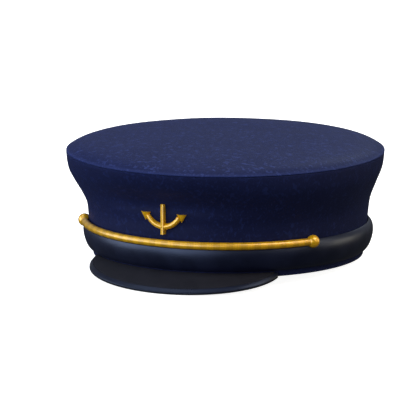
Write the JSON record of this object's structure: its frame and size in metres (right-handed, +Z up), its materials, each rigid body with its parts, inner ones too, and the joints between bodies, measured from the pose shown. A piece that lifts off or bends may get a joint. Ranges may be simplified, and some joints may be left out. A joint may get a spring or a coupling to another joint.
{
  "type": "captain hat",
  "caption": "Navy cloth captain hat with a flared crown, a padded band, a short bound peak, a gold cord between side buttons and an anchor badge.",
  "frame": {"origin": "on the floor, under the middle of the box round the hat as it rests on the back of its hem and the front of its peak", "axes": "+Z up, -Y towards the front of the hat, +X towards the wearer's left"},
  "size_m": [0.2256, 0.2254, 0.0915],
  "materials": {
    "crown_cloth": "felted navy wool, matte and faintly mottled",
    "band_leather": "glossy navy",
    "peak_leather": "matte charcoal",
    "binding_leather": "glossy dark navy",
    "gold_thread": "twisted metallic gold cord",
    "gilt_metal": "polished gilt"
  },
  "bodies": {
    "root": {"crown_side": "crown_cloth", "crown_top": "crown_cloth", "padded_band": "band_leather", "peak": "peak_leather", "peak_binding": "binding_leather", "front_cord": "gold_thread", "button_left": "gilt_metal", "button_right": "gilt_metal", "anchor_badge": "gilt_metal"}
  },
  "joints": []
}
